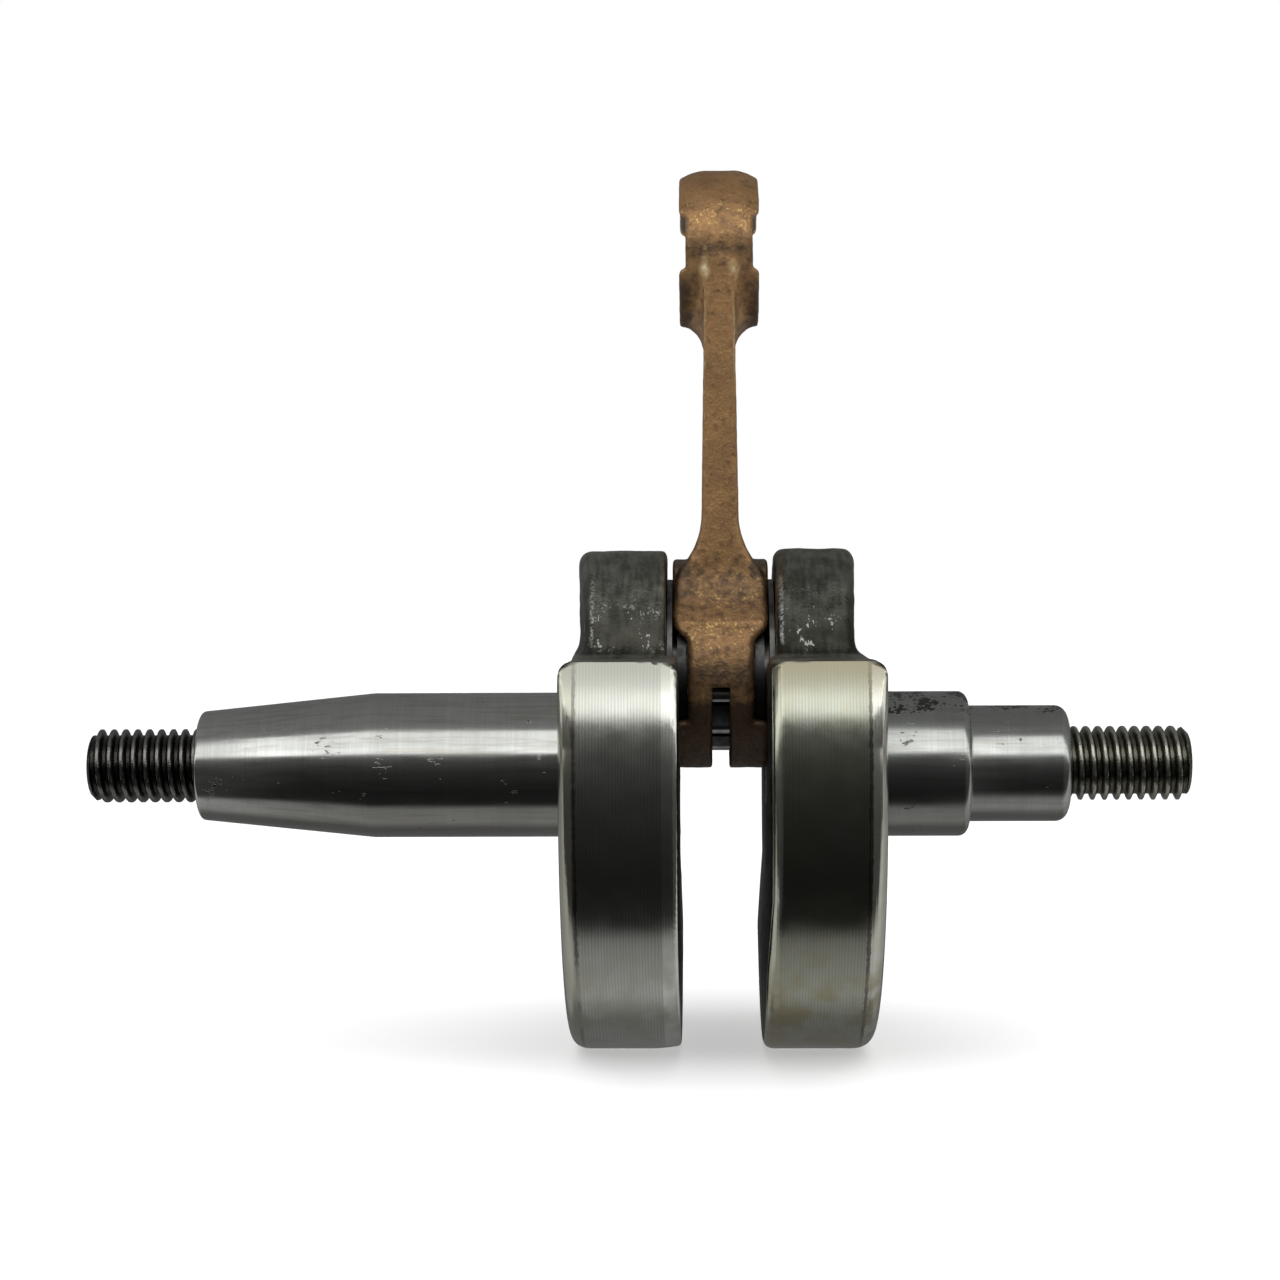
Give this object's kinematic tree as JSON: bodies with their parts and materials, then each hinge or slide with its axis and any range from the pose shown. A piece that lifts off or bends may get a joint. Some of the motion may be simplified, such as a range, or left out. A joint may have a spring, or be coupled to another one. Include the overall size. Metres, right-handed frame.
{
  "type": "crankshaft",
  "caption": "Pressed-together two-stroke crankshaft with counterweighted webs, tapered and threaded shaft ends, and a forged connecting rod on a caged needle bearing.",
  "frame": {"origin": "on the shaft axis, in the middle plane of the connecting rod, half way between the webs", "axes": "+X along the shaft towards the drive end, +Z from the shaft axis to the crankpin, -Y towards the viewer of the picture, so the keyway is on +Y"},
  "size_m": [0.114, 0.0584, 0.0907],
  "materials": {
    "crank_steel": "turned rims, ground shafts, dark forged lobes",
    "bearing_steel": "ground and hardened, bright",
    "copper_flash": "forged steel with a thin copper plating, matt and speckled",
    "cage_steel": "dark oiled pressed steel",
    "washer_steel": "thin rolled steel, satin"
  },
  "bodies": {
    "crank": {"left_crank_half": "crank_steel", "right_crank_half": "crank_steel", "crankpin": "bearing_steel"},
    "rod": {"connecting_rod": "copper_flash"},
    "cage": {"needle_cage": "cage_steel"},
    "washer_left": {"thrust_washer_left": "washer_steel"},
    "washer_right": {"thrust_washer_right": "washer_steel"},
    "roller_01": {"needle_roller_01": "bearing_steel"},
    "roller_02": {"needle_roller_02": "bearing_steel"},
    "roller_03": {"needle_roller_03": "bearing_steel"},
    "roller_04": {"needle_roller_04": "bearing_steel"},
    "roller_05": {"needle_roller_05": "bearing_steel"},
    "roller_06": {"needle_roller_06": "bearing_steel"},
    "roller_07": {"needle_roller_07": "bearing_steel"},
    "roller_08": {"needle_roller_08": "bearing_steel"},
    "roller_09": {"needle_roller_09": "bearing_steel"},
    "roller_10": {"needle_roller_10": "bearing_steel"},
    "roller_11": {"needle_roller_11": "bearing_steel"},
    "roller_12": {"needle_roller_12": "bearing_steel"}
  },
  "joints": [
    {"name": "rod_swing", "type": "hinge", "parent": "crank", "child": "rod", "pos_m": [0, 0, 0.0093], "axis": [1, 0, 0], "continuous": true},
    {"name": "cage_turn", "type": "hinge", "parent": "crank", "child": "cage", "pos_m": [0, 0, 0.0093], "axis": [1, 0, 0], "continuous": true},
    {"name": "washer_left_turn", "type": "hinge", "parent": "crank", "child": "washer_left", "pos_m": [0, 0, 0.0093], "axis": [1, 0, 0], "continuous": true},
    {"name": "washer_right_turn", "type": "hinge", "parent": "crank", "child": "washer_right", "pos_m": [0, 0, 0.0093], "axis": [1, 0, 0], "continuous": true},
    {"name": "roller_01_spin", "type": "hinge", "parent": "cage", "child": "roller_01", "pos_m": [0, -0.00181, 0.01606], "axis": [1, 0, 0], "continuous": true},
    {"name": "roller_02_spin", "type": "hinge", "parent": "cage", "child": "roller_02", "pos_m": [0, -0.00495, 0.01425], "axis": [1, 0, 0], "continuous": true},
    {"name": "roller_03_spin", "type": "hinge", "parent": "cage", "child": "roller_03", "pos_m": [0, -0.00676, 0.01111], "axis": [1, 0, 0], "continuous": true},
    {"name": "roller_04_spin", "type": "hinge", "parent": "cage", "child": "roller_04", "pos_m": [0, -0.00676, 0.00749], "axis": [1, 0, 0], "continuous": true},
    {"name": "roller_05_spin", "type": "hinge", "parent": "cage", "child": "roller_05", "pos_m": [0, -0.00495, 0.00435], "axis": [1, 0, 0], "continuous": true},
    {"name": "roller_06_spin", "type": "hinge", "parent": "cage", "child": "roller_06", "pos_m": [0, -0.00181, 0.00254], "axis": [1, 0, 0], "continuous": true},
    {"name": "roller_07_spin", "type": "hinge", "parent": "cage", "child": "roller_07", "pos_m": [0, 0.00181, 0.00254], "axis": [1, 0, 0], "continuous": true},
    {"name": "roller_08_spin", "type": "hinge", "parent": "cage", "child": "roller_08", "pos_m": [0, 0.00495, 0.00435], "axis": [1, 0, 0], "continuous": true},
    {"name": "roller_09_spin", "type": "hinge", "parent": "cage", "child": "roller_09", "pos_m": [0, 0.00676, 0.00749], "axis": [1, 0, 0], "continuous": true},
    {"name": "roller_10_spin", "type": "hinge", "parent": "cage", "child": "roller_10", "pos_m": [0, 0.00676, 0.01111], "axis": [1, 0, 0], "continuous": true},
    {"name": "roller_11_spin", "type": "hinge", "parent": "cage", "child": "roller_11", "pos_m": [0, 0.00495, 0.01425], "axis": [1, 0, 0], "continuous": true},
    {"name": "roller_12_spin", "type": "hinge", "parent": "cage", "child": "roller_12", "pos_m": [0, 0.00181, 0.01606], "axis": [1, 0, 0], "continuous": true}
  ],
  "couplings": [
    {"joint": "cage_turn", "follows": "rod_swing", "ratio": 0.57143},
    {"joint": "roller_01_spin", "follows": "rod_swing", "ratio": 3.4286},
    {"joint": "roller_02_spin", "follows": "rod_swing", "ratio": 3.4286},
    {"joint": "roller_03_spin", "follows": "rod_swing", "ratio": 3.4286},
    {"joint": "roller_04_spin", "follows": "rod_swing", "ratio": 3.4286},
    {"joint": "roller_05_spin", "follows": "rod_swing", "ratio": 3.4286},
    {"joint": "roller_06_spin", "follows": "rod_swing", "ratio": 3.4286},
    {"joint": "roller_07_spin", "follows": "rod_swing", "ratio": 3.4286},
    {"joint": "roller_08_spin", "follows": "rod_swing", "ratio": 3.4286},
    {"joint": "roller_09_spin", "follows": "rod_swing", "ratio": 3.4286},
    {"joint": "roller_10_spin", "follows": "rod_swing", "ratio": 3.4286},
    {"joint": "roller_11_spin", "follows": "rod_swing", "ratio": 3.4286},
    {"joint": "roller_12_spin", "follows": "rod_swing", "ratio": 3.4286}
  ]
}
